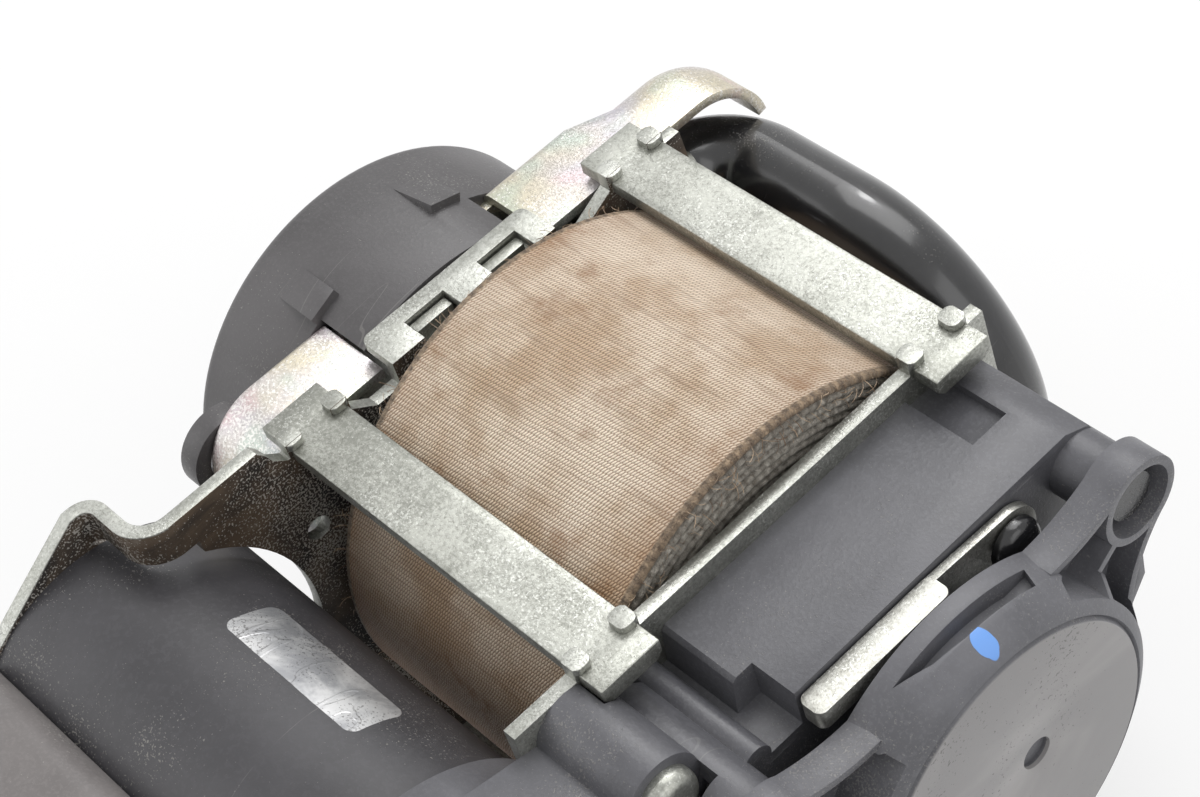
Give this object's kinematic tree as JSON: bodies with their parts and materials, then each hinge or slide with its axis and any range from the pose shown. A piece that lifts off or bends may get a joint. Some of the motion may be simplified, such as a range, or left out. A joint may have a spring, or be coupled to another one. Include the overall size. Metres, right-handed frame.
{
  "type": "seat belt retractor",
  "caption": "Motorised seat belt retractor: webbing roll in a U frame with tie bars, geared motor, spring cassette, lock, and a ball-driven tensioner with its curved tube.",
  "frame": {"origin": "middle of the frame's back plate, on its mounting face", "axes": "+X along the spool axis towards the spring cassette, +Y from the motor towards the tensioner tube, +Z out of the open side of the U frame"},
  "size_m": [0.1202, 0.172, 0.0775],
  "materials": {
    "zinc_plated": "pale zinc plating on pressed steel",
    "iridescent_zinc": "passivated zinc with a faint yellow and pink cast",
    "steel": "machined steel",
    "spring_steel": "blued spring strip",
    "cast_spool": "die-cast alloy",
    "ball_alloy": "tumbled alloy",
    "generator_alloy": "drawn cup",
    "webbing": "woven twill webbing",
    "bush_plastic": "unfilled bearing plastic",
    "white_plastic": "natural acetal",
    "grey_plastic": "dark grey moulding",
    "cover_plastic": "dark grey moulding with a smoother disc",
    "unit_plastic": "dusty dark moulding",
    "black_tube": "gloss black coating on steel tube",
    "motor_black": "matt black motor can",
    "magnet": "ferrite segments",
    "black_rivet": "black domed rivet",
    "brass": "plain"
  },
  "bodies": {
    "base": {"ball_guide": "zinc_plated", "cassette_plate": "grey_plastic", "cassette_screws": "steel", "control_unit": "unit_plastic", "frame": "zinc_plated", "gas_generator": "generator_alloy", "gear_cover": "grey_plastic", "gear_housing": "grey_plastic", "housing_screw": "zinc_plated", "lever_pin": "black_rivet", "mechanism_cover": "grey_plastic", "motor_can": "motor_black", "motor_end_cap": "motor_black", "motor_magnets": "magnet", "motor_screws": "steel", "rewind_spring": "spring_steel", "sensor_ball": "steel", "sensor_seat": "white_plastic", "spool_bush": "bush_plastic", "spring_cover": "cover_plastic", "tensioner_balls": "ball_alloy", "tensioner_bracket": "iridescent_zinc", "tensioner_tube": "black_tube", "tie_bar_front": "zinc_plated", "tie_bar_rear": "zinc_plated", "unit_terminals": "brass", "wheel_bush": "bush_plastic"},
    "spool": {"spool": "cast_spool", "torsion_bar": "steel", "webbing_roll": "webbing", "lock_base": "cast_spool", "drive_wheel": "cast_spool", "control_wheel": "white_plastic", "ring_gear": "white_plastic", "spring_arbor": "white_plastic"},
    "idler": {"idler_gear": "white_plastic"},
    "motor": {"motor_rotor": "steel", "motor_shaft": "steel", "motor_pinion": "brass"},
    "pawl": {"lock_pawl": "steel"},
    "feeler": {"sensor_feeler": "white_plastic"},
    "lever": {"clutch_lever": "zinc_plated"}
  },
  "joints": [
    {"name": "spool_spin", "type": "hinge", "parent": "base", "child": "spool", "pos_m": [0, 0, 0.0411], "axis": [1, 0, 0], "continuous": true},
    {"name": "idler_spin", "type": "hinge", "parent": "base", "child": "idler", "pos_m": [0.037, -0.03441, 0.03052], "axis": [1, 0, 0], "continuous": true},
    {"name": "motor_spin", "type": "hinge", "parent": "base", "child": "motor", "pos_m": [0, -0.0616, 0.0474], "axis": [1, 0, 0], "continuous": true},
    {"name": "lock_pawl_swing", "type": "hinge", "parent": "spool", "child": "pawl", "pos_m": [-0.027, 0, 0.0281], "axis": [-1, 0, 0], "range_deg": [0, 11], "stiffness_Nm_per_rad": 0.02},
    {"name": "sensor_feeler_swing", "type": "hinge", "parent": "base", "child": "feeler", "pos_m": [-0.0498, 0.0084, 0.0267], "axis": [-1, 0, 0], "range_deg": [0, 4]},
    {"name": "clutch_lever_swing", "type": "hinge", "parent": "base", "child": "lever", "pos_m": [0.0477, 0.0166, 0.0608], "axis": [1, 0, 0], "range_deg": [-3, 3], "stiffness_Nm_per_rad": 0.05}
  ],
  "couplings": [
    {"joint": "idler_spin", "follows": "spool_spin", "ratio": -1.5714},
    {"joint": "motor_spin", "follows": "spool_spin", "ratio": 5.6122}
  ]
}
